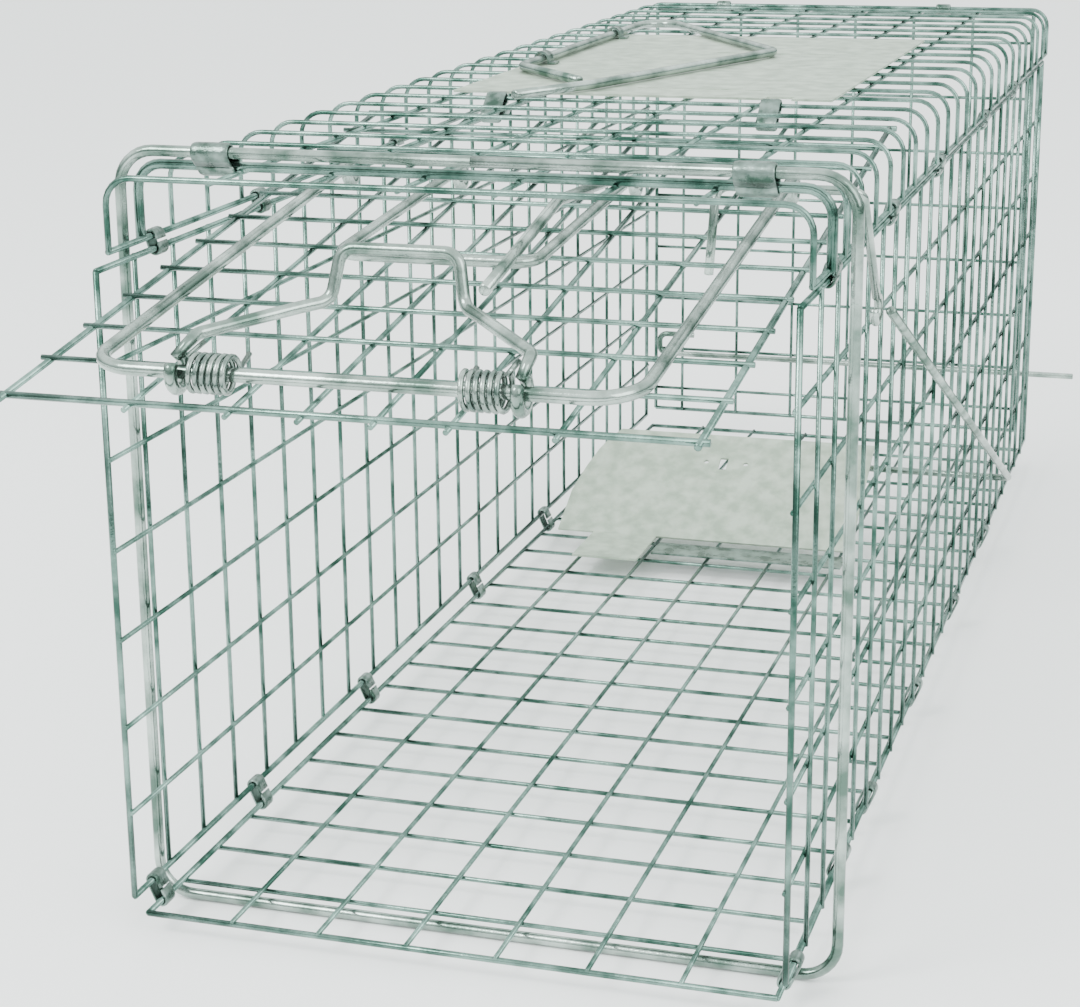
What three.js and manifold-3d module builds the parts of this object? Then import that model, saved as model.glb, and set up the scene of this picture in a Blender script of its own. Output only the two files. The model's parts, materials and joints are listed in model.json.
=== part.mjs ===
// A folding live catch trap: a wire mesh tunnel with a drop door at the front, a treadle pan on the
// floor, a linkage between the two, and a rear release panel. All sizes are in millimetres.
// X runs across the trap, Y from the entrance to the rear, Z up. The cage is laid out from the front
// left corner of its floor, and the whole group is then moved so that the origin is where the brace
// ring stands on the ground.

import * as THREE from 'three';
import { mergeVertices } from 'three/addons/utils/BufferGeometryUtils.js';
import Module from 'manifold-3d';

const wasm = await Module();
wasm.setup();

// ---- driving dimensions ----

const bay = { x: 36, y: 33, z: 35.5 };            // mesh pitch across, along and up
const bays = { x: 7, y: 24, z: 7 };
const meshRadius = 1;                             // 2 mm mesh wire
const edgeRadius = 1.25;                          // 2.5 mm wire round each panel
const braceRadius = 2.2;                          // 4.4 mm wire of the ring, the rods and the handles
const uprightEdge = 1.2;                          // wire up the two sides of a panel
const layer = 1.15;                               // each layer of mesh wires, off its panel's plane
const sheet = 1;                                  // sheet metal thickness
const gap = 0.35;                                 // running clearance between a clip and its wire
const eyeSlack = 1.1;                             // clearance of the handle's eyes on the bail's bar
const strapSlack = 0.9;                           // clearance of the carry handle under its straps
const cornerRun = 0.7;                             // how far an edge wire runs past its corner
const degrees = Math.PI / 180;

const cageWidth = bay.x * bays.x;
const cageLength = bay.y * bays.y;
const sideHeight = bay.z * bays.z;

// The side panels stand just outside the floor and are hinged to it by clips.
const side = { left: -3.6, right: cageWidth + 3.6, front: -3.6, bottom: 8.3 };
side.top = side.bottom + sideHeight;

// The top panel is a channel: a flat roof with two short turned-down sides.
const roof = { left: -5, right: 257, z: 289, skirt: 261.5, front: 10, corner: 10, bridge: 39 };

const ring = { left: -10.5, right: 268, y: 33, bottom: -6.2, top: 296, corner: 14 };

// The door hangs set, sloping up from its front edge at y, z to its hinge row.
const door = {
	centre: 125, halfWidth: 118, overhang: 3,
	pitch: 31.85, rows: 11,
	y: - 92, z: 232.6, tilt: 8.24 * degrees,
};
door.length = door.pitch * door.rows;

const bail = { left: 31.8, right: 220, s: 12, n: 7.2, radius: 2.4, corner: 16, row: 8 };
const shaft = { y: 81, z: 283, radius: 1.75, inner: 207, outer: 261.5 };
const pan = { y: 522, z: 5, left: 12, right: 186, length: 90, slope: 28 * degrees };
const rodEnd = { y: 596.5, z: 35, x: 170 };
const rodPlane = 266.5;
const rearPanel = { y: 797, left: 1, right: 248, bottom: 12, top: 286 };

// ---- materials ----

function steel( color, roughness ) {

	return new THREE.MeshStandardMaterial( { color, roughness, metalness: 0.9 } );

}

const galvanisedMesh = steel( 0xb9c9c4, 0.38 );
const brightWire = steel( 0xc9d2cd, 0.3 );
const clipSteel = steel( 0x9fb0a8, 0.42 );
const sheetSteel = steel( 0xcdd6c9, 0.5 );
const springSteel = steel( 0xa9b4ae, 0.28 );

// ---- solids ----

function toSolid( geometry ) {

	const bare = geometry.clone();
	bare.deleteAttribute( 'normal' );
	bare.deleteAttribute( 'uv' );
	const welded = mergeVertices( bare );
	return new wasm.Manifold( new wasm.Mesh( {
		numProp: 3,
		vertProperties: welded.attributes.position.array,
		triVerts: Uint32Array.from( welded.index.array ),
	} ) );

}

function fromSolid( solid ) {

	const { vertProperties, triVerts } = solid.getMesh();
	const geometry = new THREE.BufferGeometry();
	geometry.setAttribute( 'position', new THREE.BufferAttribute( vertProperties, 3 ) );
	geometry.setIndex( new THREE.BufferAttribute( triVerts, 1 ) );
	geometry.computeVertexNormals();
	return geometry;

}

function welded( geometries ) {

	return fromSolid( geometries.map( toSolid ).reduce( ( whole, piece ) => whole.add( piece ) ) );

}

// ---- wires ----

// A bent wire's centreline, as stations that the section is carried through one by one.
class BentPath extends THREE.Curve {

	constructor( stations ) {

		super();
		this.stations = stations;

	}

	nearest( t ) {

		return Math.round( t * ( this.stations.length - 1 ) );

	}

	getPointAt( t ) {

		return this.stations[ this.nearest( t ) ].clone();

	}

	// The tangent at a station halves the turn between the runs on its two sides.
	getTangentAt( t ) {

		const at = this.nearest( t );
		const last = this.stations.length - 1;
		const before = this.stations[ Math.max( at - 1, 0 ) ];
		const after = this.stations[ Math.min( at + 1, last ) ];
		const here = this.stations[ at ];
		const into = here.clone().sub( before ).normalize();
		const outOf = after.clone().sub( here ).normalize();
		return into.add( outOf ).normalize();

	}

}

function point( x, y, z ) {

	return new THREE.Vector3( x, y, z );

}

// Rounds the inner corners of a run of points with arcs that touch both of its neighbours.
function bent( corners, radius, arcStep = 30 * degrees ) {

	const stations = [ corners[ 0 ] ];
	for ( let i = 1; i < corners.length - 1; i ++ ) {

		const back = corners[ i - 1 ].clone().sub( corners[ i ] ).normalize();
		const on = corners[ i + 1 ].clone().sub( corners[ i ] ).normalize();
		const half = back.angleTo( on ) / 2;
		const turn = Math.PI - 2 * half;
		const centre = back.clone().add( on ).normalize().multiplyScalar( radius / Math.sin( half ) ).add( corners[ i ] );
		const from = back.clone().multiplyScalar( radius / Math.tan( half ) ).add( corners[ i ] ).sub( centre );
		const to = on.clone().multiplyScalar( radius / Math.tan( half ) ).add( corners[ i ] ).sub( centre );
		const steps = Math.max( 1, Math.ceil( turn / arcStep ) );
		for ( let k = 0; k <= steps; k ++ ) {

			const share = k / steps;
			const start = from.clone().multiplyScalar( Math.sin( ( 1 - share ) * turn ) / Math.sin( turn ) );
			const end = to.clone().multiplyScalar( Math.sin( share * turn ) / Math.sin( turn ) );
			stations.push( start.add( end ).add( centre ) );

		}

	}

	stations.push( corners[ corners.length - 1 ] );
	return stations;

}

// A regular section whose flats stand off the centre by the wire's radius.
function section( radius, sides ) {

	const reach = radius / Math.cos( Math.PI / sides );
	const corners = [];
	for ( let k = 0; k < sides; k ++ ) {

		const angle = ( k + 0.5 ) * 2 * Math.PI / sides;
		corners.push( new THREE.Vector2( reach * Math.cos( angle ), reach * Math.sin( angle ) ) );

	}

	return new THREE.Shape( corners );

}

// Mesh and edge wires get a square section, heavier ones a six-sided one.
function wire( stations, radius, sides = radius > meshRadius ? 6 : 4 ) {

	return new THREE.ExtrudeGeometry( section( radius, sides ), {
		steps: stations.length - 1,
		extrudePath: new BentPath( stations ),
	} );

}

// Points of a circle about an axis that runs along X, from one angle to another, measured from +Y.
function arcAboutX( x, y, z, radius, from, to, steps ) {

	const stations = [];
	for ( let k = 0; k <= steps; k ++ ) {

		const angle = from + ( to - from ) * k / steps;
		stations.push( point( x, y + radius * Math.cos( angle ), z + radius * Math.sin( angle ) ) );

	}

	return stations;

}

// ---- welded mesh ----

// A flat panel in the XY plane: edge wires all round, uprights along Y on one side of the plane and
// crossbars along X on the other. uprightSide is +1 where the uprights stand above the plane.
function meshPanel( width, height, uprights, crossbars, uprightSide ) {

	const pieces = [
		wire( [ point( - cornerRun, 0, 0 ), point( width + cornerRun, 0, 0 ) ], edgeRadius ),
		wire( [ point( - cornerRun, height, 0 ), point( width + cornerRun, height, 0 ) ], edgeRadius ),
		wire( [ point( 0, - cornerRun, 0 ), point( 0, height + cornerRun, 0 ) ], uprightEdge ),
		wire( [ point( width, - cornerRun, 0 ), point( width, height + cornerRun, 0 ) ], uprightEdge ),
	];
	for ( const x of uprights ) {

		const z = uprightSide * layer;
		pieces.push( wire( [ point( x, 0, z ), point( x, height, z ) ], meshRadius ) );

	}

	for ( const y of crossbars ) {

		const z = - uprightSide * layer;
		pieces.push( wire( [ point( 0, y, z ), point( width, y, z ) ], meshRadius ) );

	}

	return welded( pieces );

}

function evenly( count, pitch, start = pitch ) {

	return Array.from( { length: count }, ( _, k ) => start + k * pitch );

}

function floorPanel() {

	return meshPanel( cageWidth, cageLength, evenly( bays.x - 1, bay.x ), evenly( bays.y - 1, bay.y ), 1 );

}

// A side panel is drawn lying down, then stood up with its length along Y and its height along Z.
function sidePanel( x, uprightSide ) {

	const geometry = meshPanel(
		cageLength, sideHeight, evenly( bays.y - 1, bay.y ), evenly( bays.z - 1, bay.z ), uprightSide );
	geometry.applyMatrix4( new THREE.Matrix4().makeBasis( point( 0, 1, 0 ), point( 0, 0, 1 ), point( 1, 0, 0 ) ) );
	return geometry.translate( x, side.front, side.bottom );

}

function rearMesh() {

	const width = rearPanel.right - rearPanel.left;
	const height = rearPanel.top - rearPanel.bottom;
	const lowBar = 14.5;
	const uprights = evenly( 6, 38, 19 );
	const crossbars = [ lowBar, ...evenly( bays.z, bay.z, 42.5 ) ];
	const geometry = meshPanel( width, height, uprights, crossbars, 1 );
	geometry.applyMatrix4( new THREE.Matrix4().makeBasis( point( 1, 0, 0 ), point( 0, 0, 1 ), point( 0, - 1, 0 ) ) );
	return geometry.translate( rearPanel.left, rearPanel.y, rearPanel.bottom );

}

// One wire bent over the roof and down both short sides, off the roof's surface by out.
function roofBow( y, out, radius ) {

	return wire( bent( [
		point( roof.left - out, y, roof.skirt ),
		point( roof.left - out, y, roof.z + out ),
		point( roof.right + out, y, roof.z + out ),
		point( roof.right + out, y, roof.skirt ),
	], roof.corner, 45 * degrees ), radius );

}

function topPanel() {

	const pieces = [
		roofBow( roof.front, 0, edgeRadius ),
		roofBow( cageLength, 0, edgeRadius ),
		roofBow( roof.bridge, layer, 2 ),
	];
	for ( let k = 2; k < bays.y; k ++ ) pieces.push( roofBow( k * bay.y, layer, meshRadius ) );
	for ( const x of evenly( 6, bay.x, bay.x + 0.5 ) ) {

		const z = roof.z - layer;
		pieces.push( wire( [ point( x, roof.front, z ), point( x, cageLength, z ) ], meshRadius ) );

	}

	for ( const x of [ roof.left, roof.right ] ) {

		const from = point( x, roof.front - cornerRun, roof.skirt );
		pieces.push( wire( [ from, point( x, cageLength + cornerRun, roof.skirt ) ], edgeRadius ) );

	}

	return welded( pieces );

}

// ---- clips ----

// A band round two parallel wires, drawn as an oval ring about their centres a and b. It is extruded
// along X, or along Y where alongY is true; a and b are then given across that axis.
function band( a, b, wireRadius, width, middle, alongY ) {

	const lean = Math.atan2( b[ 1 ] - a[ 1 ], b[ 0 ] - a[ 0 ] );
	const quarter = Math.PI / 2;
	const oval = ( path, radius ) => {

		path.absarc( b[ 0 ], b[ 1 ], radius, lean - quarter, lean + quarter, false );
		path.absarc( a[ 0 ], a[ 1 ], radius, lean + quarter, lean + 3 * quarter, false );
		return path;

	};

	const outline = oval( new THREE.Shape(), wireRadius + gap + sheet );
	outline.holes.push( oval( new THREE.Path(), wireRadius + gap ) );
	const geometry = new THREE.ExtrudeGeometry( outline, { depth: width, bevelEnabled: false, curveSegments: 3 } );
	geometry.translate( 0, 0, - width / 2 );
	const along = alongY
		? new THREE.Matrix4().makeBasis( point( 1, 0, 0 ), point( 0, 0, 1 ), point( 0, - 1, 0 ) )
		: new THREE.Matrix4().makeBasis( point( 0, 1, 0 ), point( 0, 0, 1 ), point( 1, 0, 0 ) );
	geometry.applyMatrix4( along );
	return alongY ? geometry.translate( 0, middle, 0 ) : geometry.translate( middle, 0, 0 );

}

// Clip places are the middles of mesh bays, so that no clip meets a cross wire.
function bayMiddle( k ) {

	return k * bay.y + 15;

}

function floorClip( onLeft, y ) {

	const floorEdge = onLeft ? 0 : cageWidth;
	const sideEdge = onLeft ? side.left : side.right;
	return band( [ floorEdge, 0 ], [ sideEdge, side.bottom ], edgeRadius, 8, y, true );

}

function upperClip( onLeft, y ) {

	const sideEdge = onLeft ? side.left : side.right;
	const skirtEdge = onLeft ? roof.left : roof.right;
	return band( [ sideEdge, side.top ], [ skirtEdge, roof.skirt ], edgeRadius, 8, y, true );

}

function ringClip( x ) {

	return band( [ ring.y, ring.top ], [ roof.bridge, roof.z + layer ], braceRadius, 15, x, false );

}

function doorHingeClip( x ) {

	const hinge = onDoor( 0, door.length, 0 );
	const bow = 8 * bay.y;
	return band( [ hinge.y, hinge.z ], [ bow, roof.z + layer ], edgeRadius, 9, x, false );

}

function rearHingeClip( x ) {

	return band( [ rearPanel.y, rearPanel.top ], [ cageLength, roof.z ], edgeRadius, 9, x, false );

}

// ---- frame ring ----

// The ring is one heavy wire round the mouth of the trap. Its ends meet on the top bar.
function braceRing() {

	const middle = ( ring.left + ring.right ) / 2;
	return wire( bent( [
		point( middle + 0.2, ring.y, ring.top ),
		point( ring.right, ring.y, ring.top ),
		point( ring.right, ring.y, ring.bottom ),
		point( ring.left, ring.y, ring.bottom ),
		point( ring.left, ring.y, ring.top ),
		point( middle - 0.2, ring.y, ring.top ),
	], ring.corner ), braceRadius, 8 );

}

// ---- door ----

// Door pieces are drawn on the door's own plane: x across, s back from its front edge, n above it.
function onDoor( x, s, n ) {

	return point(
		x,
		door.y + s * Math.cos( door.tilt ) - n * Math.sin( door.tilt ),
		door.z + s * Math.sin( door.tilt ) + n * Math.cos( door.tilt ),
	);

}

function doorMesh() {

	const left = door.centre - door.halfWidth;
	const right = door.centre + door.halfWidth;
	const pieces = [];
	for ( const x of [ left, right ] ) {

		pieces.push( wire( [ point( x, - 4, 0 ), point( x, door.length + 1, 0 ) ], edgeRadius ) );

	}

	for ( let k = 0; k <= door.rows; k ++ ) {

		const onEdge = k === 0 || k === door.rows;
		const s = k * door.pitch;
		const n = onEdge ? 0 : layer;
		const ends = [ point( left - door.overhang, s, n ), point( right + door.overhang, s, n ) ];
		pieces.push( wire( ends, onEdge ? edgeRadius : meshRadius ) );

	}

	for ( const offset of [ 12.5, 37.5, 73 ] ) {

		for ( const x of [ door.centre - offset, door.centre + offset ] ) {

			pieces.push( wire( [ point( x, - 4, - layer ), point( x, door.length, - layer ) ], meshRadius ) );

		}

	}

	return welded( pieces );

}

// An eye that closes three quarters round a cross wire and leaves it along the door.
function eyeOnRow( x, radius ) {

	const s = bail.row * door.pitch;
	const reach = meshRadius + 2 * gap + radius;
	return arcAboutX( x, s, layer, reach, - 1.1 * Math.PI, 0.5 * Math.PI, 8 ).reverse();

}

// The bail is a heavy U that lies on the door. Its two ends curl round one of the door's cross wires.
function lockBail() {

	const leftEye = eyeOnRow( bail.left, bail.radius );
	const rightEye = eyeOnRow( bail.right, bail.radius ).reverse();
	const bends = bent( [
		leftEye[ 0 ],
		point( bail.left, bail.s, bail.n ),
		point( bail.right, bail.s, bail.n ),
		rightEye[ rightEye.length - 1 ],
	], bail.corner, 22.5 * degrees );
	return wire( [ ...leftEye.slice( 1 ).reverse(), ...bends, ...rightEye.slice( 0, - 1 ).reverse() ], bail.radius, 8 );

}

// The lock frame is a narrow U on the same cross wire, with a long catch wire welded over its bar.
function lockFrame() {

	const left = 80.8;
	const right = 155.6;
	const bar = { s: 115, n: 14 };
	const leftEye = eyeOnRow( left, braceRadius );
	const rightEye = eyeOnRow( right, braceRadius ).reverse();
	const bends = bent( [
		leftEye[ 0 ],
		point( left, bar.s, bar.n ),
		point( right, bar.s, bar.n ),
		rightEye[ rightEye.length - 1 ],
	], 9 );
	const frame = wire( [ ...leftEye.slice( 1 ).reverse(), ...bends, ...rightEye.slice( 0, - 1 ).reverse() ], braceRadius );
	const tip = point( 149, 80, 16 );
	const heel = point( 145, 182, 16 );
	const tail = point( 151, 232, 9 );
	return welded( [ frame, wire( bent( [ tip, heel, tail ], 20 ), braceRadius ) ] );

}

// The squeeze handle is one wire: an eye on the bail's bar, a shoulder, a finger loop in the middle and
// the same again mirrored. across holds half of its width at each step.
function squeezeHandle() {

	const centre = 124;
	const reach = bail.radius + eyeSlack + braceRadius;
	const across = { eye: 59, shoulder: 58, neck: 32, foot: 24, crown: 21 };
	const arm = ( sign ) => [
		point( centre + sign * across.shoulder, 27, 15 ),
		point( centre + sign * across.neck, 54, 16 ),
		point( centre + sign * across.foot, 62, 16 ),
		point( centre + sign * across.crown, 68, 33 ),
	];
	const eye = ( sign ) => arcAboutX(
		centre + sign * across.eye, bail.s, bail.n, reach, - 1.25 * Math.PI, 0.45 * Math.PI, 9 );
	const leftEye = eye( - 1 );
	const rightEye = eye( 1 ).reverse();
	const bends = bent( [
		leftEye[ leftEye.length - 1 ], ...arm( - 1 ), ...arm( 1 ).reverse(), rightEye[ 0 ],
	], 6 );
	return wire( [ ...leftEye.slice( 0, - 1 ), ...bends, ...rightEye.slice( 1 ) ], braceRadius );

}

// A torsion spring wound on the bail's bar: a straight leg along the door, the coil, and a second leg.
function torsionSpring( start, end, turns ) {

	const coilRadius = 6;
	const stepsPerTurn = 8;
	const steps = Math.round( turns * stepsPerTurn );
	const legLength = 12;
	const stations = [];
	for ( let k = 0; k <= steps; k ++ ) {

		const share = k / steps;
		const angle = Math.PI / 2 - share * turns * 2 * Math.PI;
		const x = start + ( end - start ) * share;
		stations.push( point( x, bail.s + coilRadius * Math.cos( angle ), bail.n + coilRadius * Math.sin( angle ) ) );

	}

	const first = stations[ 0 ].clone().add( point( 0, legLength, 0 ) );
	const final = stations[ steps ].clone().add( point( 0, 0.7 * legLength, 2 ) );
	return wire( [ first, ...stations, final ], 1 );

}

// ---- treadle and trigger ----

// The pan is drawn flat, with y up its slope, and then tipped up about its front edge.
function treadlePan() {

	const cornerCut = 18;
	const outline = new THREE.Shape();
	outline.moveTo( pan.left, 0 );
	outline.lineTo( pan.right, 0 );
	outline.lineTo( pan.right, pan.length );
	outline.lineTo( pan.left + cornerCut, pan.length );
	outline.quadraticCurveTo( pan.left + 7, pan.length - 10, pan.left, 34 );
	const punched = new THREE.Path();
	punched.moveTo( 96, 60 );
	punched.lineTo( 101, 60 );
	punched.lineTo( 101, 70 );
	punched.lineTo( 96, 70 );
	outline.holes.push( punched );
	for ( const x of [ 88, 112 ] ) {

		const hole = new THREE.Path();
		hole.absarc( x, 66, 1.6, 0, 2 * Math.PI, true );
		outline.holes.push( hole );

	}

	const plate = new THREE.ExtrudeGeometry( outline, { depth: 1.2, bevelEnabled: false, curveSegments: 4 } );
	plate.translate( 0, 0, - 0.6 ).rotateX( pan.slope ).translate( 0, pan.y, pan.z );
	const tabLength = 47;
	const tab = new THREE.BoxGeometry( 38, tabLength, 1.2 );
	tab.translate( 53, pan.y - tabLength / 2 + 0.8, pan.z );
	return welded( [ plate, tab ] );

}

// A flat strip that lies across the floor wires just in front of the pan.
function treadleHingeStrip() {

	const strip = new THREE.BoxGeometry( 110, 20, sheet );
	return strip.translate( 130, 507, 3 );

}

// One wire: a tip behind the door's cross wire, an arm up to the shaft, the shaft out through the
// side of the roof, and a crank that slants back and down to the rod's eye.
function triggerHook() {

	const eye = { y: 118, z: 232.5, radius: 5 };
	const crankAngle = Math.atan2( shaft.z - eye.z, shaft.y - eye.y );
	const eyeStart = point(
		shaft.outer, eye.y + eye.radius * Math.cos( crankAngle ), eye.z + eye.radius * Math.sin( crankAngle ) );
	const loop = arcAboutX(
		shaft.outer, eye.y, eye.z, eye.radius, crankAngle - 0.15 * Math.PI, crankAngle - 1.75 * Math.PI, 8 );
	const run = bent( [
		point( shaft.inner, 70.5, 252 ),
		point( shaft.inner, shaft.y, shaft.z ),
		point( shaft.outer, shaft.y, shaft.z ),
		eyeStart,
	], 5 );
	return wire( [ ...run.slice( 0, - 1 ), ...loop ], shaft.radius );

}

// The rod hooks under the pan, comes out through the right side and runs forward to the crank's eye.
function triggerRod() {

	const head = { y: 122, z: 231 };
	return wire( bent( [
		point( rodEnd.x, rodEnd.y, rodEnd.z ),
		point( rodPlane, rodEnd.y, rodEnd.z ),
		point( rodPlane, head.y, head.z ),
	], 6 ), 2 );

}

// ---- roof fittings ----

function guardPlate() {

	const front = 268.5;
	const rear = 545;
	const z = 291.6;
	const outline = new THREE.Shape();
	outline.moveTo( 40, front );
	outline.lineTo( 185, front );
	outline.lineTo( 185, front + 7 );
	outline.lineTo( 197, front + 7 );
	outline.lineTo( 197, front );
	outline.lineTo( 215, front );
	outline.lineTo( 215, rear );
	outline.lineTo( 40, rear );
	for ( const y of [ 295, 455 ] ) {

		const slot = new THREE.Path();
		slot.moveTo( 120, y );
		slot.lineTo( 182, y );
		slot.lineTo( 182, y + 2.5 );
		slot.lineTo( 120, y + 2.5 );
		outline.holes.push( slot );

	}

	const plate = new THREE.ExtrudeGeometry( outline, { depth: sheet, bevelEnabled: false, curveSegments: 2 } );
	return plate.translate( 0, 0, z );

}

const handleHinge = { x: 47.5, z: 295.2 };

// The carry handle lies on the guard plate. Its straight left run turns in two straps.
function carryHandle() {

	const z = handleHinge.z;
	return wire( bent( [
		point( 80, 236, z ),
		point( 103, 282, z ),
		point( 154, 442, z ),
		point( handleHinge.x, 615, z ),
		point( handleHinge.x, 349, z ),
		point( 92, 296, z ),
	], 12 ), braceRadius );

}

// A strap bridges the handle's hinge run and its two feet lie on the plate.
function handleStrap( y ) {

	const inner = braceRadius + strapSlack;
	const outer = inner + sheet;
	const foot = handleHinge.z - braceRadius - 0.1;
	const outline = new THREE.Shape();
	const reach = outer + 3;
	outline.moveTo( handleHinge.x + reach, foot );
	outline.lineTo( handleHinge.x + reach, foot + sheet );
	outline.lineTo( handleHinge.x + outer, foot + sheet );
	outline.absarc( handleHinge.x, handleHinge.z, outer, 0, Math.PI, false );
	outline.lineTo( handleHinge.x - outer, foot + sheet );
	outline.lineTo( handleHinge.x - reach, foot + sheet );
	outline.lineTo( handleHinge.x - reach, foot );
	outline.lineTo( handleHinge.x - inner, foot );
	outline.absarc( handleHinge.x, handleHinge.z, inner, Math.PI, 0, true );
	outline.lineTo( handleHinge.x + inner, foot );
	const geometry = new THREE.ExtrudeGeometry( outline, { depth: 8, bevelEnabled: false, curveSegments: 3 } );
	geometry.applyMatrix4( new THREE.Matrix4().makeBasis( point( 1, 0, 0 ), point( 0, 0, 1 ), point( 0, - 1, 0 ) ) );
	return geometry.translate( 0, y + 4, 0 );

}

// The lock rod lies across the rear panel's inner face. Its left end is bent back as a finger pull.
function rearLockRod() {

	const y = 791.9;
	return wire( bent( [
		point( 285, y, 52.5 ),
		point( 5, y, 52.5 ),
		point( 5, y, 66 ),
		point( 29, y, 66 ),
	], 5 ), 1.9 );

}

// ---- assembly ----

const trap = new THREE.Group();

function add( name, geometry, material, parent = trap ) {

	const mesh = new THREE.Mesh( geometry, material );
	mesh.name = name;
	parent.add( mesh );

}

add( 'floor_panel', floorPanel(), galvanisedMesh );
add( 'left_side_panel', sidePanel( side.left, - 1 ), galvanisedMesh );
add( 'right_side_panel', sidePanel( side.right, 1 ), galvanisedMesh );
add( 'top_panel', topPanel(), galvanisedMesh );
add( 'rear_panel', rearMesh(), galvanisedMesh );
add( 'brace_ring', braceRing(), brightWire );

[ 0, 3, 7, 12, 16 ].forEach( ( k, i ) => {

	add( `floor_clip_left_${ i + 1 }`, floorClip( true, bayMiddle( k ) ), clipSteel );

} );
[ 0, 3, 5, 9, 13, 17 ].forEach( ( k, i ) => {

	add( `floor_clip_right_${ i + 1 }`, floorClip( false, bayMiddle( k ) ), clipSteel );

} );
[ 1, 4, 9, 14, 19 ].forEach( ( k, i ) => {

	add( `upper_clip_left_${ i + 1 }`, upperClip( true, bayMiddle( k ) ), clipSteel );

} );
[ 1, 5, 9, 14, 18 ].forEach( ( k, i ) => {

	add( `upper_clip_right_${ i + 1 }`, upperClip( false, bayMiddle( k ) ), clipSteel );

} );
add( 'ring_clip_left', ringClip( 27.5 ), clipSteel );
add( 'ring_clip_right', ringClip( 231.5 ), clipSteel );
add( 'door_hinge_clip_left', doorHingeClip( 62.5 ), clipSteel );
add( 'door_hinge_clip_right', doorHingeClip( 189 ), clipSteel );
add( 'rear_hinge_clip_left', rearHingeClip( 47 ), clipSteel );
add( 'rear_hinge_clip_right', rearHingeClip( 191 ), clipSteel );

const doorGroup = new THREE.Group();
doorGroup.position.set( 0, door.y, door.z );
doorGroup.rotation.x = door.tilt;
trap.add( doorGroup );
add( 'door_panel', doorMesh(), galvanisedMesh, doorGroup );
add( 'lock_bail', lockBail(), brightWire, doorGroup );
add( 'lock_frame', lockFrame(), brightWire, doorGroup );
add( 'torsion_spring_left', torsionSpring( 69.5, 84.5, 6.25 ), springSteel, doorGroup );
add( 'torsion_spring_right', torsionSpring( 178.5, 163.5, 6.25 ), springSteel, doorGroup );
add( 'squeeze_handle', squeezeHandle(), brightWire, doorGroup );

add( 'treadle_pan', treadlePan(), sheetSteel );
add( 'treadle_hinge_strip', treadleHingeStrip(), clipSteel );
add( 'trigger_hook', triggerHook(), brightWire );
add( 'trigger_rod', triggerRod(), brightWire );

add( 'guard_plate', guardPlate(), sheetSteel );
add( 'carry_handle', carryHandle(), brightWire );
add( 'handle_strap_front', handleStrap( 385 ), clipSteel );
add( 'handle_strap_rear', handleStrap( 520 ), clipSteel );
add( 'rear_lock_rod', rearLockRod(), brightWire );

// The origin is on the underside of the ring's bottom bar, half way across.
trap.position.set( - ( ring.left + ring.right ) / 2, - ring.y, braceRadius - ring.bottom );

export default trap;
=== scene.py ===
# %% [markdown]
# # A live catch trap in round wire
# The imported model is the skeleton: it says where every panel, rod and hinge is. This lesson gives it
# round, galvanised wire, pressed sheet and studio light. Lengths below are in millimetres on the cage's
# own grid, counted from the front left corner of its floor, and one function turns them into metres.

# %% Load the frame
import json
import math

import bmesh
import bpy
import numpy as np
from mathutils import Matrix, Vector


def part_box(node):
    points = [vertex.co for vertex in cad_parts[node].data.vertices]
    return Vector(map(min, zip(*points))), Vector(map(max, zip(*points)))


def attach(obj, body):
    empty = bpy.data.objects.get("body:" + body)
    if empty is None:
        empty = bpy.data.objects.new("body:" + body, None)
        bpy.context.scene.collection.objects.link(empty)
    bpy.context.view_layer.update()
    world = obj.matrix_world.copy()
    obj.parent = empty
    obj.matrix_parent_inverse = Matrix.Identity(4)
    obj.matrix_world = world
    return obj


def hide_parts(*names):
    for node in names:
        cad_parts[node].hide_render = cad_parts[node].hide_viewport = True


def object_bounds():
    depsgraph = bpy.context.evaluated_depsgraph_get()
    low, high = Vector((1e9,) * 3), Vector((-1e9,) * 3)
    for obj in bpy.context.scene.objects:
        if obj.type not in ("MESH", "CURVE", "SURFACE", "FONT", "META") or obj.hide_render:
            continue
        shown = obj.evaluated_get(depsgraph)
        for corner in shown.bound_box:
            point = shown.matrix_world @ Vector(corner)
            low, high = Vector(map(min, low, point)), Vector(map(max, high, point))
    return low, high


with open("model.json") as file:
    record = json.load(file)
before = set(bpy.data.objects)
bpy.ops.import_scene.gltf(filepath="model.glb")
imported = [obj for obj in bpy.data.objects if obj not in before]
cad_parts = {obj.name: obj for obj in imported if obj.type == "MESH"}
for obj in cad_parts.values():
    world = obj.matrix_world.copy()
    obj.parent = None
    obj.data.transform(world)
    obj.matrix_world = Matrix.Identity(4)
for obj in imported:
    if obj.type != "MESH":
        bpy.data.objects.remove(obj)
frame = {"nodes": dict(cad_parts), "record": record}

cad_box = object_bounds()
print("CAD box", cad_box)

# %% [markdown]
# The floor panel's lowest corner fixes the grid. Its edge wires stick out by their own radius, and its
# cross wires hang a little lower than its plane, so those amounts are added back. The first four values
# below are wire radii. LAYER is how far a layer of crossing wires stands off its plane in the frame, and
# GAP is the clearance that lets one piece turn on another.

# %% The cage grid
MESH = 1.0
EDGE = 1.25
SIDE_EDGE = 1.2
HEAVY = 2.2
LAYER = 1.15
GAP = 0.35
MM = 0.001
floor_low = np.array(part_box("floor_panel")[0])
cage_corner = floor_low + np.array([SIDE_EDGE, EDGE, LAYER + MESH]) * MM
BAY_X, BAY_Y, BAY_Z = 36.0, 33.0, 35.5
WIDTH, LENGTH, SIDE_HEIGHT = 7 * BAY_X, 24 * BAY_Y, 7 * BAY_Z
print("cage corner", cage_corner.round(4))


def cage(points):
    """Metres from grid millimetres: the corner of the cage plus a thousandth of each point."""
    return cage_corner + np.asarray(points, float) * MM


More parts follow.
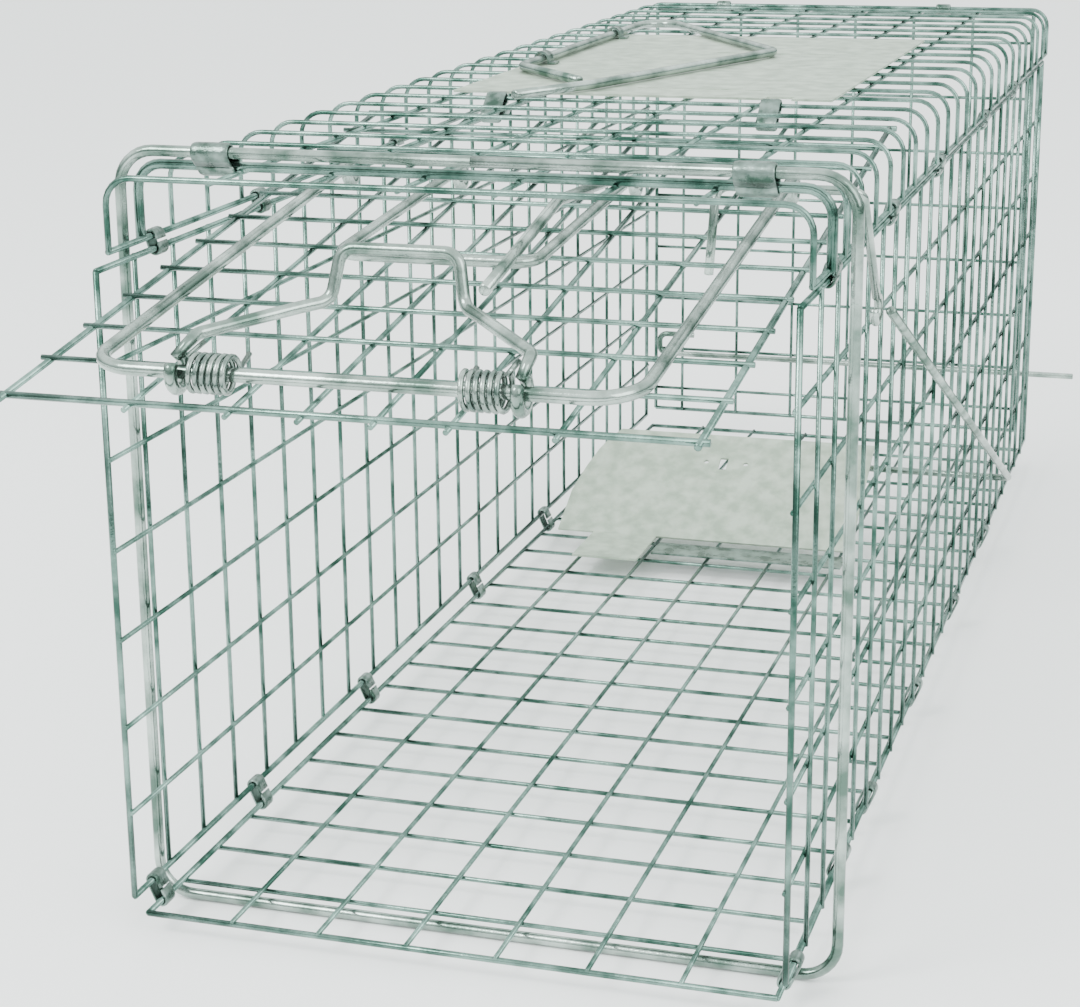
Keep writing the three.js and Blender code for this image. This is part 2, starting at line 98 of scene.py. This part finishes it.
# %% [markdown]
# Galvanised wire is never one grey. The zinc has a faint cool tint and cloudy patches about a
# centimetre wide. Noise in Object coordinates drives colour and roughness together, and a finer noise
# gives the surface its slight orange peel.

# %% Zinc finishes
CLOUD_DARK, CLOUD_LIGHT = 0.35, 0.65
POLISH_SHARE = 0.2
GRAIN_PER_CLOUD = 9
GRAIN_DEPTH = 0.0004


def zinc(name, light, dark, roughness, scale, bump, metallic=0.9):
    """Cloudy zinc: noise mixes a light and a dark tint and moves the roughness by a fifth each way."""
    material = bpy.data.materials.new(name)
    material.use_nodes = True
    nodes, links = material.node_tree.nodes, material.node_tree.links
    shader = nodes["Principled BSDF"]
    shader.inputs["Metallic"].default_value = metallic
    coords = nodes.new("ShaderNodeTexCoord")
    cloud = nodes.new("ShaderNodeTexNoise")
    cloud.inputs["Scale"].default_value = scale
    cloud.inputs["Detail"].default_value = 4
    tint = nodes.new("ShaderNodeValToRGB")
    tint.color_ramp.elements[0].position = CLOUD_DARK
    tint.color_ramp.elements[0].color = (*dark, 1)
    tint.color_ramp.elements[1].position = CLOUD_LIGHT
    tint.color_ramp.elements[1].color = (*light, 1)
    polish = nodes.new("ShaderNodeMapRange")
    polish.inputs["To Min"].default_value = roughness * (1 - POLISH_SHARE)
    polish.inputs["To Max"].default_value = roughness * (1 + POLISH_SHARE)
    grain = nodes.new("ShaderNodeTexNoise")
    grain.inputs["Scale"].default_value = scale * GRAIN_PER_CLOUD
    relief = nodes.new("ShaderNodeBump")
    relief.inputs["Strength"].default_value = bump
    relief.inputs["Distance"].default_value = GRAIN_DEPTH
    links.new(coords.outputs["Object"], cloud.inputs["Vector"])
    links.new(coords.outputs["Object"], grain.inputs["Vector"])
    links.new(cloud.outputs["Fac"], tint.inputs["Fac"])
    links.new(cloud.outputs["Fac"], polish.inputs["Value"])
    links.new(tint.outputs["Color"], shader.inputs["Base Color"])
    links.new(polish.outputs["Result"], shader.inputs["Roughness"])
    links.new(grain.outputs["Fac"], relief.inputs["Height"])
    links.new(relief.outputs["Normal"], shader.inputs["Normal"])
    return material


finishes = {
    "galvanised_mesh": zinc("galvanised_mesh", (0.22, 0.34, 0.30), (0.03, 0.08, 0.06), 0.22, 70, 0.25),
    "bright_wire": zinc("bright_wire", (0.46, 0.54, 0.50), (0.09, 0.15, 0.12), 0.19, 55, 0.20),
    "clip_steel": zinc("clip_steel", (0.26, 0.34, 0.31), (0.04, 0.08, 0.06), 0.28, 140, 0.35),
    "spring_steel": zinc("spring_steel", (0.38, 0.45, 0.41), (0.10, 0.15, 0.13), 0.22, 160, 0.15),
    "sheet_steel": zinc("sheet_steel", (0.52, 0.60, 0.50), (0.34, 0.42, 0.33), 0.40, 110, 0.35, 0.35),
}
node_slot = {part["node"]: part["material_slot"] for part in frame["record"]["subparts"]}
for node_name, node in frame["nodes"].items():
    node.data.materials.clear()
    node.data.materials.append(finishes[node_slot[node_name]])
print("finishes", sorted(finishes))

# %% [markdown]
# Every wire is one idea: a circle carried along a path. The path is a run of corners with the inner
# ones rounded. At each station the circle stands square to the path, turned as little as possible from
# the station before, so the tube never twists. Each end is bevelled a little and closed with a flat cap.

# %% Bent paths and tubes
CAP_RADIUS_SHARE = 0.55
CAP_REACH_SHARE = 0.12
THIN_SIDES, ROD_SIDES, HEAVY_SIDES = 10, 12, 16


def bent(corners, radius, steps=6):
    """Round each inner corner: a circular arc that touches the runs on its two sides."""
    corners = np.asarray(corners, float)
    run = [corners[:1]]
    for before, here, after in zip(corners[:-2], corners[1:-1], corners[2:]):
        back = (before - here) / np.linalg.norm(before - here)
        onward = (after - here) / np.linalg.norm(after - here)
        half = math.acos(np.clip(back @ onward, -1, 1)) / 2
        turn = math.pi - 2 * half
        middle = (back + onward) / np.linalg.norm(back + onward)
        centre = here + middle * radius / math.sin(half)
        first = here + back * radius / math.tan(half) - centre
        last = here + onward * radius / math.tan(half) - centre
        share = np.linspace(0, 1, steps + 1)[:, None]
        arc = (np.sin((1 - share) * turn) * first + np.sin(share * turn) * last) / math.sin(turn)
        run.append(arc + centre)
    run.append(corners[-1:])
    return np.concatenate(run)


def arc_about_x(x, y, z, radius, start, end, steps):
    """Circle about an X axis: y and z by the cosine and sine of an angle measured from +Y."""
    angle = np.linspace(start, end, steps + 1)
    return np.stack([np.full_like(angle, x), y + radius * np.cos(angle), z + radius * np.sin(angle)], 1)


def tube(path, radius, sides):
    """Circle carried along a path: radius times the cosine and sine of an angle, across the path.

    A smaller circle and a pole, both a little past the end, close each end.
    """
    path = np.asarray(path, float)
    step = np.diff(path, axis=0)
    step /= np.linalg.norm(step, axis=1)[:, None]
    tangent = np.concatenate([step[:1], step[:-1] + step[1:], step[-1:]])
    tangent /= np.linalg.norm(tangent, axis=1)[:, None]
    normal = np.empty_like(path)
    seed = np.eye(3)[np.argmin(np.abs(tangent[0]))]
    for k, direction in enumerate(tangent):
        seed = seed - direction * (seed @ direction)
        seed /= np.linalg.norm(seed)
        normal[k] = seed
    binormal = np.cross(tangent, normal)
    angle = np.arange(sides) * 2 * np.pi / sides
    cosine, sine = np.cos(angle)[None, :, None], np.sin(angle)[None, :, None]
    ring = normal[:, None] * cosine + binormal[:, None] * sine
    rings = np.concatenate([ring[:1], ring, ring[-1:]])
    centres = np.concatenate([path[:1], path, path[-1:]])
    centres[0] -= tangent[0] * CAP_REACH_SHARE * radius
    centres[-1] += tangent[-1] * CAP_REACH_SHARE * radius
    reach = np.full(len(centres), radius)
    reach[[0, -1]] = CAP_RADIUS_SHARE * radius
    body = (centres[:, None] + rings * reach[:, None, None]).reshape(-1, 3)
    vertices = np.concatenate([body, centres[:1], centres[-1:]])
    rows = len(centres)
    k, j = np.meshgrid(np.arange(rows - 1), np.arange(sides), indexing="ij")
    a, b = k * sides + j, k * sides + (j + 1) % sides
    quads = np.stack([a, b, b + sides, a + sides], -1).reshape(-1, 4)
    around = np.arange(sides)
    after = (around + 1) % sides
    first_pole, last_pole = rows * sides, rows * sides + 1
    last_row = (rows - 1) * sides
    first = np.stack([after, around, np.full(sides, first_pole)], 1)
    last = np.stack([last_row + around, last_row + after, np.full(sides, last_pole)], 1)
    return vertices, quads.tolist() + first.tolist() + last.tolist()


def wires(name, paths, body, slot, *nodes):
    """One piece from many tubes. paths is a list of (grid points, radius in millimetres, sides)."""
    vertices, faces, count = [], [], 0
    for path, radius, sides in paths:
        points, polygons = tube(cage(path), radius * MM, sides)
        faces += [[count + corner for corner in polygon] for polygon in polygons]
        vertices.append(points)
        count += len(points)
    mesh = bpy.data.meshes.new(name)
    mesh.from_pydata(np.concatenate(vertices).tolist(), [], faces)
    mesh.shade_smooth()
    piece = bpy.data.objects.new(name, mesh)
    bpy.context.collection.objects.link(piece)
    mesh.materials.append(finishes[slot])
    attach(piece, body)
    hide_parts(*nodes)
    print(f"{name}: {len(paths)} wires, {len(faces)} faces")
    return piece


# %% [markdown]
# A mesh panel is two layers of straight wires, welded where they cross. Wires of one layer lie on the
# other, so each layer stands off the panel's plane by about one radius. At every crossing the weld
# sinks one wire a little into the other: here the layers stand 0.95 mm off, not a full radius.

# %% Flat mesh panels
SUNK = 0.95
OVERHANG = 0.8


def panel(place, width, height, uprights, crossbars, upright_side):
    """Straight wires of a panel: place turns (across, up, out) into a grid point."""
    def line(start, end, radius):
        return np.array([place(*start), place(*end)]), radius, THIN_SIDES

    paths = [line((0, up, 0), (width, up, 0), EDGE) for up in (0, height)]
    paths += [line((across, 0, 0), (across, height, 0), EDGE) for across in (0, width)]
    out = SUNK * upright_side
    over = OVERHANG
    paths += [line((across, -over, out), (across, height + over, out), MESH) for across in uprights]
    paths += [line((-over, up, -out), (width + over, up, -out), MESH) for up in crossbars]
    return paths


def evenly(count, pitch, start=None):
    """count places, one pitch apart, from start or from one pitch in."""
    return (pitch if start is None else start) + pitch * np.arange(count)


floor = panel(lambda across, up, out: (across, up, out), WIDTH, LENGTH,
              evenly(6, BAY_X), evenly(23, BAY_Y), 1)
wires("floor_wires", floor, "base", "galvanised_mesh", "floor_panel")

SIDE_GAP = 3.6
SIDE_LEFT, SIDE_RIGHT, SIDE_FRONT, SIDE_BOTTOM = -SIDE_GAP, WIDTH + SIDE_GAP, -SIDE_GAP, 8.3
for label, x, outward in (("left", SIDE_LEFT, -1), ("right", SIDE_RIGHT, 1)):
    side = panel(lambda across, up, out: (x + out, SIDE_FRONT + across, SIDE_BOTTOM + up),
                 LENGTH, SIDE_HEIGHT, evenly(23, BAY_Y), evenly(6, BAY_Z), outward)
    wires(f"{label}_side_wires", side, f"{label}_side", "galvanised_mesh", f"{label}_side_panel")

REAR_Y, REAR_LEFT, REAR_WIDTH, REAR_BOTTOM, REAR_HEIGHT = 797, 1, 247, 12, 274
REAR_PITCH, REAR_FIRST_BAR, REAR_SECOND_BAR = 38, 14.5, 42.5
rear_bars = np.concatenate([[REAR_FIRST_BAR], evenly(7, BAY_Z, REAR_SECOND_BAR)])
rear = panel(lambda across, up, out: (REAR_LEFT + across, REAR_Y - out, REAR_BOTTOM + up),
             REAR_WIDTH, REAR_HEIGHT, evenly(6, REAR_PITCH, REAR_PITCH / 2), rear_bars, 1)
wires("rear_wires", rear, "rear_door", "galvanised_mesh", "rear_panel")

# %% [markdown]
# The roof's cross wires are bows: each goes over the top and down both short sides. The second one is
# heavy, because the ring hangs from it.

# %% Roof bows
ROOF_LEFT, ROOF_RIGHT, ROOF_Z, SKIRT = -5, 257, 289, 261.5
FRONT_BOW, BRIDGE, BRIDGE_WIRE, BOW_CORNER = 10, 39, 2.0, 10
FIRST_RAIL, SKIRT_OVERHANG = 36.5, 0.7


def bow(y, out, radius):
    """A wire over the roof: up one side, across, and down the other, with rounded corners."""
    corners = [(ROOF_LEFT - out, y, SKIRT), (ROOF_LEFT - out, y, ROOF_Z + out),
               (ROOF_RIGHT + out, y, ROOF_Z + out), (ROOF_RIGHT + out, y, SKIRT)]
    return bent(corners, BOW_CORNER), radius, THIN_SIDES


def rail(x, z, overhang, radius):
    """A straight wire from the first bow to the last, with a short overhang at both ends."""
    return np.array([(x, FRONT_BOW - overhang, z), (x, LENGTH + overhang, z)]), radius, THIN_SIDES


roof = [bow(FRONT_BOW, 0, EDGE), bow(LENGTH, 0, EDGE), bow(BRIDGE, LAYER, BRIDGE_WIRE)]
roof += [bow(k * BAY_Y, SUNK, MESH) for k in range(2, 24)]
roof += [rail(x, ROOF_Z - SUNK, 0, MESH) for x in evenly(6, BAY_X, FIRST_RAIL)]
roof += [rail(x, SKIRT, SKIRT_OVERHANG, EDGE) for x in (ROOF_LEFT, ROOF_RIGHT)]
wires("roof_wires", roof, "top", "galvanised_mesh", "top_panel")

# %% [markdown]
# The door's pieces share the door's slope, so they are drawn on its plane: x across, s back from its
# front edge and n above it. One turn about the front edge puts them in the cage. The cross wires lie
# above the long ones, and the first and last of them are thicker.

# %% Door mesh
DOOR_Y, DOOR_Z, TILT = -92, 232.6, math.radians(8.24)
PITCH, ROWS, CENTRE, ROW_REACH, FRONT_OVERHANG = 31.85, 11, 125, 121, 4
DOOR_EDGE_OFFSET, DOOR_OFFSETS = 118, (73, 37.5, 12.5)


def on_door(points):
    """Slope: y gets s by the cosine less n by the sine, z gets s by the sine plus n by the cosine."""
    x, s, n = np.asarray(points, float).T
    y = DOOR_Y + s * math.cos(TILT) - n * math.sin(TILT)
    z = DOOR_Z + s * math.sin(TILT) + n * math.cos(TILT)
    return np.stack([x, y, z], 1)


door_length = PITCH * ROWS
door = []
for k in range(ROWS + 1):
    radius, n = (EDGE, 0) if k in (0, ROWS) else (MESH, SUNK)
    row = [(CENTRE - ROW_REACH, k * PITCH, n), (CENTRE + ROW_REACH, k * PITCH, n)]
    door.append((on_door(row), radius, THIN_SIDES))
for offset in (DOOR_EDGE_OFFSET, *DOOR_OFFSETS):
    radius, n = (EDGE, 0) if offset == DOOR_EDGE_OFFSET else (MESH, -SUNK)
    for x in (CENTRE - offset, CENTRE + offset):
        door.append((on_door([(x, -FRONT_OVERHANG, n), (x, door_length, n)]), radius, THIN_SIDES))
wires("door_wires", door, "door", "galvanised_mesh", "door_panel")

# %% [markdown]
# The lock bail, the lock frame and the squeeze handle are heavy bent wires. Their ends curl into eyes
# round the wire they turn on, which is what makes each of them a hinge.

# %% Lock bail and lock frame
BAIL_S, BAIL_N, BAIL = 12, 7.2, 2.4
BAIL_LEFT, BAIL_RIGHT, BAIL_CORNER = 31.8, 220, 16
FRAME_LEFT, FRAME_RIGHT, FRAME_S, FRAME_N, FRAME_CORNER = 80.8, 155.6, 115, 14, 9
PIVOT_S = 8 * PITCH


def eye_on_row(x, radius):
    """Three quarters of a circle round a cross wire, ending on top of it, ready to run forward."""
    reach = MESH + 2 * GAP + radius
    return arc_about_x(x, PIVOT_S, LAYER, reach, -1.1 * math.pi, 0.5 * math.pi, 16)


def u_wire(left, right, s, n, radius, corner):
    """Eye, arm, bar, arm and eye of a U that turns on the door's cross wire."""
    left_eye, right_eye = eye_on_row(left, radius), eye_on_row(right, radius)[::-1]
    middle = bent([left_eye[-1], (left, s, n), (right, s, n), right_eye[0]], corner, 8)
    return np.concatenate([left_eye[:-1], middle, right_eye[1:]])


bail = u_wire(BAIL_LEFT, BAIL_RIGHT, BAIL_S, BAIL_N, BAIL, BAIL_CORNER)
wires("bail_wire", [(on_door(bail), BAIL, HEAVY_SIDES)], "bail", "bright_wire", "lock_bail")
lock_frame = u_wire(FRAME_LEFT, FRAME_RIGHT, FRAME_S, FRAME_N, HEAVY, FRAME_CORNER)
catch = bent([(149, 80, 16), (145, 182, 16), (151, 232, 9)], 20)
wires("lock_frame_wire", [(on_door(lock_frame), HEAVY, HEAVY_SIDES), (on_door(catch), HEAVY, HEAVY_SIDES)],
      "bail", "bright_wire", "lock_frame")

# %% [markdown]
# The squeeze handle is one wire with two like halves. Each half starts in an eye on the bail's bar,
# runs inwards and back, and climbs to the finger loop. Only one half is listed, and a sign makes the other.

# %% Squeeze handle
HANDLE_X, EYE_OFFSET, EYE_SLACK = 124, 59, 2 * GAP + 0.4
HANDLE_BENDS = ((58, 27, 15), (32, 54, 16), (24, 62, 16), (21, 68, 33))


def handle_half(sign):
    """Eye on the bail's bar and the bends up to the finger loop, for one side of the handle."""
    eye = arc_about_x(HANDLE_X + sign * EYE_OFFSET, BAIL_S, BAIL_N, BAIL + EYE_SLACK + HEAVY,
                      -1.25 * math.pi, 0.45 * math.pi, 18)
    return eye, [(HANDLE_X + sign * offset, s, n) for offset, s, n in HANDLE_BENDS]


left_eye, left_arm = handle_half(-1)
right_eye, right_arm = handle_half(1)
loop = bent([left_eye[-1], *left_arm, *right_arm[::-1], right_eye[-1]], 6)
handle = np.concatenate([left_eye[:-1], loop, right_eye[::-1][1:]])
wires("handle_wire", [(on_door(handle), HEAVY, HEAVY_SIDES)], "squeeze", "bright_wire", "squeeze_handle")

# %% [markdown]
# A torsion spring beside each of the handle's eyes pushes the handle back. It is a helix round the
# bail's bar with a short straight leg at each end. The two springs mirror each other.

# %% Torsion springs
SPRING_WIRE, SPRING_SIDES, COIL, TURNS, STEPS_PER_TURN = 1.0, 8, 6, 6.25, 20
FIRST_LEG, LAST_LEG = (0, 12, 0), (0, 8.4, 2)


def torsion_spring(start, end):
    """Helix: x runs from start to end, s and n go round the bar by the cosine and sine of the angle."""
    share = np.linspace(0, 1, round(TURNS * STEPS_PER_TURN) + 1)
    angle = math.pi / 2 - share * TURNS * 2 * math.pi
    x = start + (end - start) * share
    coil = np.stack([x, BAIL_S + COIL * np.cos(angle), BAIL_N + COIL * np.sin(angle)], 1)
    return np.concatenate([[coil[0] + FIRST_LEG], coil, [coil[-1] + LAST_LEG]])


for label, start, end in (("left", 69.5, 84.5), ("right", 178.5, 163.5)):
    wires(f"spring_wire_{label}", [(on_door(torsion_spring(start, end)), SPRING_WIRE, SPRING_SIDES)],
          "bail", "spring_steel", f"torsion_spring_{label}")

# %% [markdown]
# The ring is one heavy wire whose ends meet in the middle of its top bar. Its underside stays where the
# frame's flat foot is, so the trap stands at the same height.

# %% Brace ring
RING_LEFT, RING_RIGHT, RING_Y, RING_BOTTOM, RING_TOP = -10.5, 268, 33, -6.2, 296
RING_CORNER, BUTT_GAP = 14, 0.4
ring_middle = (RING_LEFT + RING_RIGHT) / 2
ring = bent([(ring_middle + BUTT_GAP / 2, RING_Y, RING_TOP), (RING_RIGHT, RING_Y, RING_TOP),
             (RING_RIGHT, RING_Y, RING_BOTTOM), (RING_LEFT, RING_Y, RING_BOTTOM),
             (RING_LEFT, RING_Y, RING_TOP), (ring_middle - BUTT_GAP / 2, RING_Y, RING_TOP)], RING_CORNER, 8)
wires("ring_wire", [(ring, HEAVY, HEAVY_SIDES)], "ring", "bright_wire", "brace_ring")

# %% [markdown]
# The trigger is one wire: a hook that points down at the door, a short shaft under the roof, and a crank
# that ends in an eye outside the right side. The rod runs from beside that eye down to the pan. The lock
# rod crosses the rear panel and turns back at its end. The carry handle is a flat, kinked loop on the roof.

# %% Trigger hook, trigger rod, lock rod and carry handle
TRIGGER_WIRE, ROD_WIRE, LOCK_WIRE, GRIP_SIDES = 1.75, 2.0, 1.9, 14
HOOK_X, CRANK_X, ROD_X, PAN_Y, PAN_Z = 207, 261.5, 266.5, 596.5, 35
SHAFT_Y, SHAFT_Z, EYE_Y, EYE_Z, EYE = 81, 283, 118, 232.5, 5
crank = math.atan2(SHAFT_Z - EYE_Z, SHAFT_Y - EYE_Y)
eye = arc_about_x(CRANK_X, EYE_Y, EYE_Z, EYE, crank - 0.15 * math.pi, crank - 1.75 * math.pi, 16)
eye_start = (CRANK_X, EYE_Y + EYE * math.cos(crank), EYE_Z + EYE * math.sin(crank))
hook = bent([(HOOK_X, 70.5, 252), (HOOK_X, SHAFT_Y, SHAFT_Z), (CRANK_X, SHAFT_Y, SHAFT_Z), eye_start], 5)
wires("trigger_wire", [(np.concatenate([hook[:-1], eye]), TRIGGER_WIRE, ROD_SIDES)],
      "trigger", "bright_wire", "trigger_hook")
rod = bent([(170, PAN_Y, PAN_Z), (ROD_X, PAN_Y, PAN_Z), (ROD_X, 122, 231)], 6)
wires("rod_wire", [(rod, ROD_WIRE, ROD_SIDES)], "rod", "bright_wire", "trigger_rod")
LOCK_Y, LOCK_Z, LOCK_TIP_Z, GRIP_Z = 791.9, 52.5, 66, 295.2
lock = bent([(285, LOCK_Y, LOCK_Z), (5, LOCK_Y, LOCK_Z),
             (5, LOCK_Y, LOCK_TIP_Z), (29, LOCK_Y, LOCK_TIP_Z)], 5)
wires("lock_rod_wire", [(lock, LOCK_WIRE, ROD_SIDES)], "lock_rod", "bright_wire", "rear_lock_rod")
grip = bent([(80, 236, GRIP_Z), (103, 282, GRIP_Z), (154, 442, GRIP_Z), (47.5, 615, GRIP_Z),
             (47.5, 349, GRIP_Z), (92, 296, GRIP_Z)], 12)
wires("carry_wire", [(grip, HEAVY, GRIP_SIDES)], "carry", "bright_wire", "carry_handle")

# %% [markdown]
# Each hinge clip is a short steel strip wrapped round two wires and crimped shut. Its rolled ribs grip
# like a coil. The CAD band is closed and flat, so a ribbed strip with an open seam stands for it: one
# rounded section is carried round an oval, and the box of the CAD clip says where along the wire it sits.

# %% Crimped hinge clips
THICK, SEAM, RIB, SOFT = 1.0, 1.0, 0.3, 0.4


def oval(a, b, radius, steps=12):
    """Centres and outward directions of an oval round a and b: two half circles joined by two flats."""
    a, b = np.asarray(a, float), np.asarray(b, float)
    along = (b - a) / np.linalg.norm(b - a)
    beside = np.array([along[1], -along[0]])
    angle = np.linspace(-math.pi / 2, math.pi / 2, steps + 1)[:, None]
    far = np.cos(angle) * along - np.sin(angle) * beside
    out = np.concatenate([beside[None], far, -far, beside[None]])
    seam = (a + b) / 2
    centre = np.concatenate([[seam + along * SEAM / 2], np.repeat([b], steps + 1, 0),
                             np.repeat([a], steps + 1, 0), [seam - along * SEAM / 2]])
    return centre + out * radius, out


def rounded_strip(width, samples=28):
    """Strip's outline: cosine and sine to a small power, and three half waves of sine as outer ribs."""
    angle = np.arange(samples) * 2 * np.pi / samples
    depth = 0.5 * THICK * np.sign(np.cos(angle)) * np.abs(np.cos(angle)) ** SOFT
    side = 0.5 * width * np.sign(np.sin(angle)) * np.abs(np.sin(angle)) ** SOFT
    rib = np.where(depth > 0, RIB * np.abs(np.sin(3 * np.pi * (side / width + 0.5))), 0)
    return depth + rib, side


def clip(node_name, body, a, b, wire_radius, along_y):
    """A crimped clip on one CAD clip: the strip's section carried once round the oval."""
    low, high = (np.array(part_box(node_name)) - cage_corner) / MM
    axis = 1 if along_y else 0
    middle, width = (low[axis] + high[axis]) / 2, high[axis] - low[axis]
    centre, out = oval(a, b, wire_radius + GAP + THICK / 2)
    depth, side = rounded_strip(width)
    flat = centre[:, None] + out[:, None] * depth[None, :, None]
    across = np.broadcast_to(middle + side, flat.shape[:2])
    columns = [flat[..., 0], across, flat[..., 1]] if along_y else [across, flat[..., 0], flat[..., 1]]
    points = np.stack(columns, -1).reshape(-1, 3)
    rows, count = flat.shape[:2]
    k, j = np.meshgrid(np.arange(rows - 1), np.arange(count), indexing="ij")
    p, q = k * count + j, k * count + (j + 1) % count
    faces = np.stack([p, q, q + count, p + count], -1).reshape(-1, 4).tolist()
    faces += [list(range(count))[::-1], list(range((rows - 1) * count, rows * count))]
    mesh = bpy.data.meshes.new(f"crimped_{node_name}")
    mesh.from_pydata(cage(points).tolist(), [], faces)
    shell = bmesh.new()
    shell.from_mesh(mesh)
    bmesh.ops.recalc_face_normals(shell, faces=shell.faces)
    shell.to_mesh(mesh)
    shell.free()
    mesh.shade_smooth()
    piece = bpy.data.objects.new(mesh.name, mesh)
    bpy.context.collection.objects.link(piece)
    mesh.materials.append(finishes["clip_steel"])
    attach(piece, body)
    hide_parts(node_name)


SIDE_TOP = SIDE_BOTTOM + SIDE_HEIGHT
edges = (("left", 0, SIDE_LEFT, ROOF_LEFT), ("right", WIDTH, SIDE_RIGHT, ROOF_RIGHT))
for node_name in sorted(frame["nodes"]):
    for label, floor_x, side_x, roof_x in edges:
        if node_name.startswith(f"floor_clip_{label}"):
            clip(node_name, "base", (floor_x, 0), (side_x, SIDE_BOTTOM), EDGE, True)
        elif node_name.startswith(f"upper_clip_{label}"):
            clip(node_name, "top", (side_x, SIDE_TOP), (roof_x, SKIRT), EDGE, True)
door_row, door_bow = on_door([(0, door_length, 0)])[0, 1:], (8 * BAY_Y, ROOF_Z + LAYER)
rear_row, rear_bow = (REAR_Y, REAR_BOTTOM + REAR_HEIGHT), (LENGTH, ROOF_Z)
for place in ("left", "right"):
    clip(f"ring_clip_{place}", "top", (RING_Y, RING_TOP), (BRIDGE, ROOF_Z + LAYER), HEAVY, False)
    clip(f"door_hinge_clip_{place}", "top", door_row, door_bow, EDGE, False)
    clip(f"rear_hinge_clip_{place}", "top", rear_row, rear_bow, EDGE, False)

# %% [markdown]
# The pan, strip, straps and guard plate keep their CAD shape and wear the finishes above. The floor is
# plain and pale. Thin bright wire needs something dark to mirror or it vanishes, so the world is dark
# near the horizon and bright overhead. A soft key and a larger fill light it from the front.

# %% Floor and light
GROUND_SIZE, GROUND_DROP = 12, 0.0005
TRAP_MIDDLE = np.array([0.0, 0.3, 0.15])
bpy.ops.mesh.primitive_plane_add(size=GROUND_SIZE, location=(0, 0, float(cad_box[0][2]) - GROUND_DROP))
ground = bpy.context.object
ground.name = "studio_floor"
paper = bpy.data.materials.new("pale_paper")
paper.use_nodes = True
paper.node_tree.nodes["Principled BSDF"].inputs["Base Color"].default_value = (0.97, 0.98, 0.98, 1)
paper.node_tree.nodes["Principled BSDF"].inputs["Roughness"].default_value = 0.9
ground.data.materials.append(paper)


def studio_world():
    """White where the camera sees it. What the wires mirror is brighter overhead than at the horizon."""
    world = bpy.data.worlds.new("studio")
    world.use_nodes = True
    nodes, links = world.node_tree.nodes, world.node_tree.links
    direction = nodes.new("ShaderNodeTexCoord")
    height = nodes.new("ShaderNodeSeparateXYZ")
    sky = nodes.new("ShaderNodeValToRGB")
    sky.color_ramp.elements[0].position = 0.05
    sky.color_ramp.elements[0].color = (0.10, 0.16, 0.14, 1)
    sky.color_ramp.elements[1].position = 0.45
    sky.color_ramp.elements[1].color = (0.95, 1.0, 0.99, 1)
    seen = nodes.new("ShaderNodeLightPath")
    choose = nodes.new("ShaderNodeMixRGB")
    choose.inputs["Color2"].default_value = (1, 1, 1, 1)
    links.new(direction.outputs["Generated"], height.inputs["Vector"])
    links.new(height.outputs["Z"], sky.inputs["Fac"])
    links.new(seen.outputs["Is Camera Ray"], choose.inputs["Fac"])
    links.new(sky.outputs["Color"], choose.inputs["Color1"])
    links.new(choose.outputs["Color"], nodes["Background"].inputs["Color"])
    nodes["Background"].inputs["Strength"].default_value = 2.3
    return world


bpy.context.scene.world = studio_world()


def soft_light(name, place, size, power):
    """A square area light at place that faces the middle of the trap."""
    data = bpy.data.lights.new(name, "AREA")
    data.size = size
    data.energy = power
    lamp = bpy.data.objects.new(name, data)
    bpy.context.collection.objects.link(lamp)
    lamp.location = place
    aim = TRAP_MIDDLE - np.array(place)
    lamp.rotation_euler = (math.atan2(math.hypot(aim[0], aim[1]), -aim[2]), 0,
                           math.atan2(aim[1], aim[0]) - math.pi / 2)


soft_light("key", (-1.2, -1.4, 1.9), 1.0, 60)
soft_light("fill", (1.6, -0.8, 1.2), 1.4, 26)
print("lights", [light.name for light in bpy.data.lights])

# %% [markdown]
# The camera stands in front of the mouth, to its right and above it. Yaw turns it to the left, pitch tips
# it down, and roll leans it by half a degree. The camera's own right, up and back directions, made from
# those angles, are the columns of its matrix.

# %% Camera
CAMERA_PLACE, FOCAL_LENGTH, SENSOR_WIDTH, FAR_CLIP = (403.3, -772, 419.3), 79.5, 36, 50
YAW, PITCH_DOWN, ROLL = math.radians(-17.27), math.radians(16.42), math.radians(-0.545)
forward = np.array([math.sin(YAW) * math.cos(PITCH_DOWN), math.cos(YAW) * math.cos(PITCH_DOWN),
                    -math.sin(PITCH_DOWN)])
level = np.array([math.cos(YAW), -math.sin(YAW), 0])
upward = np.cross(level, forward)
right = level * math.cos(ROLL) + upward * math.sin(ROLL)
above = -level * math.sin(ROLL) + upward * math.cos(ROLL)
camera_data = bpy.data.cameras.new("camera")
camera_data.lens = FOCAL_LENGTH
camera_data.sensor_width = SENSOR_WIDTH
camera_data.clip_end = FAR_CLIP
camera = bpy.data.objects.new("camera", camera_data)
bpy.context.collection.objects.link(camera)
turned = np.eye(4)
turned[:3] = np.stack([right, above, -forward, cage(CAMERA_PLACE)], 1)
camera.matrix_world = Matrix(turned.tolist())
bpy.context.scene.camera = camera
print("camera at", cage(CAMERA_PLACE).round(3))
